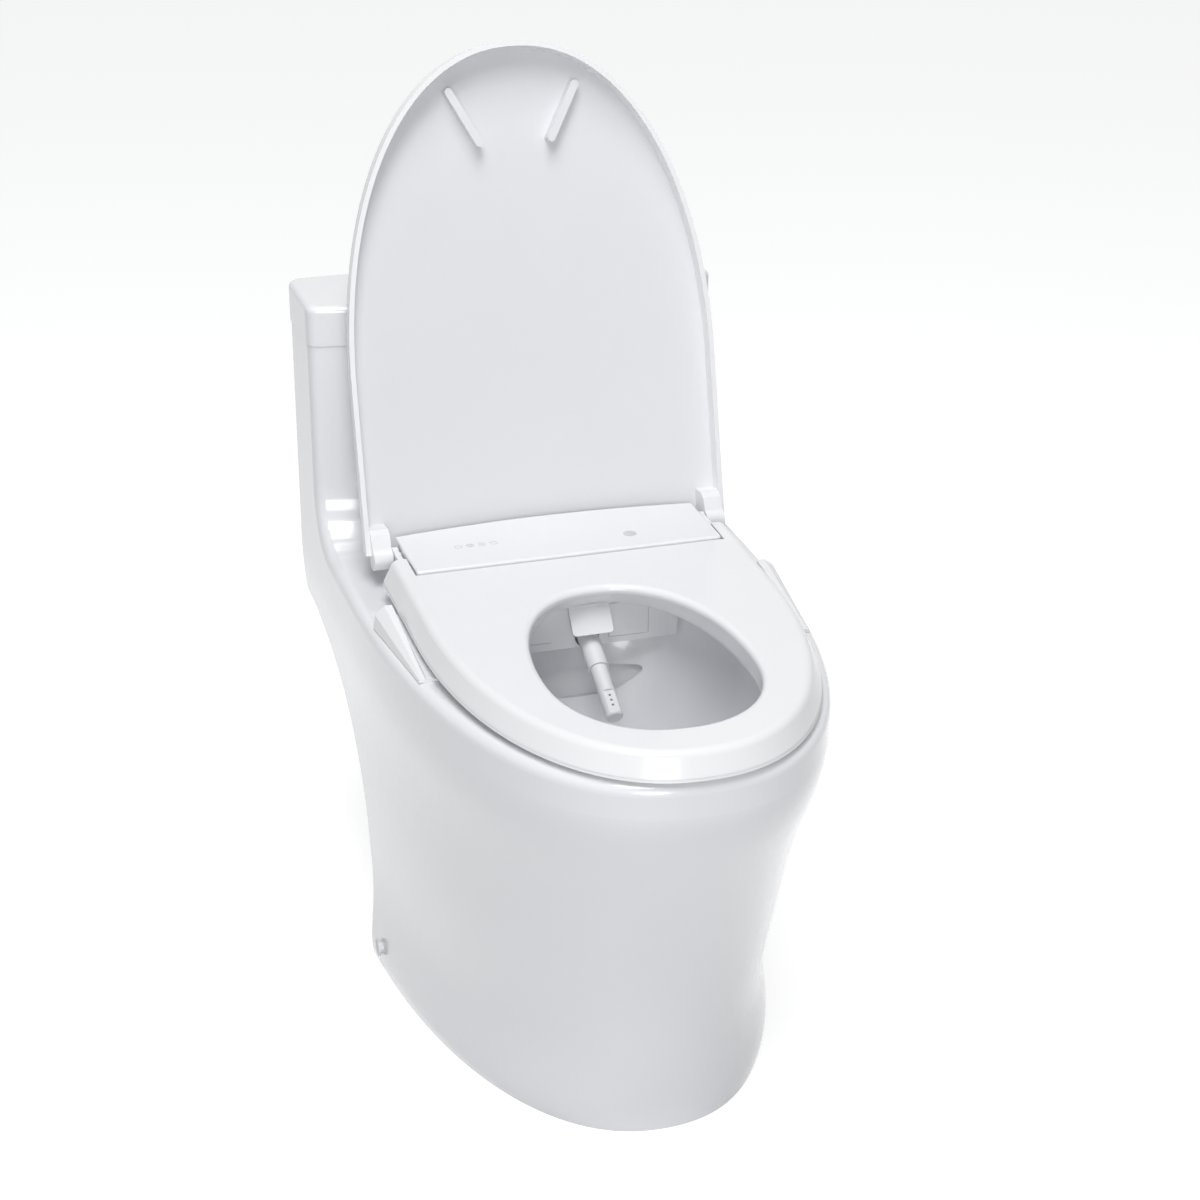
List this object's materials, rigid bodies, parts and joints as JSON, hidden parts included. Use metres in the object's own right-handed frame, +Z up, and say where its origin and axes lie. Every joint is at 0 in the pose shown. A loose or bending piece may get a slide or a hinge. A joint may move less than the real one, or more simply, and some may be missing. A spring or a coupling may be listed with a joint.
{
  "type": "smart toilet with heated seat",
  "caption": "One-piece skirted toilet with a heated wash seat: crowned lid, ring seat, telescoping spray wand and a tank with push buttons.",
  "frame": {"origin": "centre of the waste outlet, on the floor", "axes": "+Z up; -Y towards the user, +Y towards the wall; +X to the right of someone who faces the toilet; X = 0 is the centre plane"},
  "size_m": [0.438, 0.7398, 0.953],
  "materials": {
    "china": "fired white vitreous china with a clear gloss glaze",
    "white_gloss": "white gloss polypropylene",
    "white_satin": "white satin moulded plastic",
    "grey_rubber": "pale grey rubber",
    "chrome": "polished chrome plate",
    "steel": "stainless steel",
    "grey_plastic": "grey moulded plastic",
    "dark_plastic": "dark moulded plastic",
    "board_green": "green circuit board",
    "window": "pale tinted window",
    "brass": "machined brass",
    "foil": "aluminium foil with a printed track"
  },
  "bodies": {
    "toilet": {"china_tank": "china", "china_rim": "china", "china_bowl": "china", "china_sump": "china", "china_trapway": "china", "china_skirt": "china", "flush_valve_tower": "white_satin", "valve_lock_nut": "grey_plastic", "fill_valve": "white_satin", "fill_valve_nut": "grey_plastic", "outlet_connector": "grey_plastic", "outlet_seal": "grey_rubber", "floor_brackets": "grey_plastic", "side_screws": "steel", "screw_caps": "white_satin", "mounting_plate": "white_satin", "plate_bolts": "steel", "unit_case": "white_satin", "top_panel": "white_gloss", "sensor_window": "window", "wing_right": "white_gloss", "wing_left": "white_gloss", "wand_housing": "grey_plastic", "water_heater": "dark_plastic", "control_board": "board_green", "dryer_fan": "dark_plastic", "water_inlet": "brass", "power_gland": "dark_plastic", "hinge_pins": "steel"},
    "tank_cover": {"tank_lid": "china", "button_bezel": "chrome"},
    "full_button": {"full_flush_button": "chrome"},
    "light_button": {"light_flush_button": "chrome"},
    "canister": {"flush_canister": "grey_plastic", "canister_seal": "grey_rubber"},
    "float": {"float_cup": "dark_plastic"},
    "seat": {"seat_top": "white_gloss", "seat_base": "white_satin", "seat_heater": "foil", "seat_bumpers": "grey_rubber", "seat_hinge_arms": "white_gloss"},
    "lid": {"lid_cover": "white_gloss", "lid_rim": "white_gloss", "lid_hinge_blocks": "white_gloss", "lid_bumpers": "grey_rubber"},
    "sleeve": {"wand_sleeve": "white_satin"},
    "wand": {"wand_tube": "white_satin", "wand_tip": "white_satin"},
    "shutter": {"nozzle_shutter": "white_satin"},
    "air_door": {"dryer_door": "white_satin"}
  },
  "joints": [
    {"name": "lid_hinge", "type": "hinge", "parent": "toilet", "child": "lid", "pos_m": [0, 0.055, 0.464], "axis": [-1, 0, 0], "range_deg": [-105, 0]},
    {"name": "seat_hinge", "type": "hinge", "parent": "toilet", "child": "seat", "pos_m": [0, 0.055, 0.464], "axis": [-1, 0, 0], "range_deg": [0, 98]},
    {"name": "wand_slide", "type": "slide", "parent": "toilet", "child": "sleeve", "axis": [0, -0.891, -0.454], "range_m": [-0.045, 0]},
    {"name": "inner_wand_slide", "type": "slide", "parent": "sleeve", "child": "wand", "axis": [0, -0.891, -0.454], "range_m": [-0.0612, 0]},
    {"name": "shutter_hinge", "type": "hinge", "parent": "toilet", "child": "shutter", "pos_m": [0, -0.0784, 0.446], "axis": [-1, 0, 0], "range_deg": [0, 20]},
    {"name": "air_door_hinge", "type": "hinge", "parent": "toilet", "child": "air_door", "pos_m": [0.0435, -0.074, 0.442], "axis": [-1, 0, 0], "range_deg": [0, 40]},
    {"name": "tank_lid_lift", "type": "slide", "parent": "toilet", "child": "tank_cover", "axis": [0, 0, 1], "range_m": [0, 0.04]},
    {"name": "full_button_press", "type": "slide", "parent": "tank_cover", "child": "full_button", "axis": [0, 0, -1], "range_m": [0, 0.006], "stiffness_N_per_m": 400, "springref_m": -0.002},
    {"name": "light_button_press", "type": "slide", "parent": "tank_cover", "child": "light_button", "axis": [0, 0, -1], "range_m": [0, 0.006], "stiffness_N_per_m": 400, "springref_m": -0.002},
    {"name": "canister_lift", "type": "slide", "parent": "toilet", "child": "canister", "axis": [0, 0, 1], "range_m": [0, 0.03]},
    {"name": "float_rise", "type": "slide", "parent": "toilet", "child": "float", "axis": [0, 0, 1], "range_m": [0, 0.07]}
  ],
  "couplings": [
    {"joint": "inner_wand_slide", "follows": "wand_slide", "ratio": 1.36},
    {"joint": "canister_lift", "follows": "full_button_press", "ratio": 5}
  ]
}
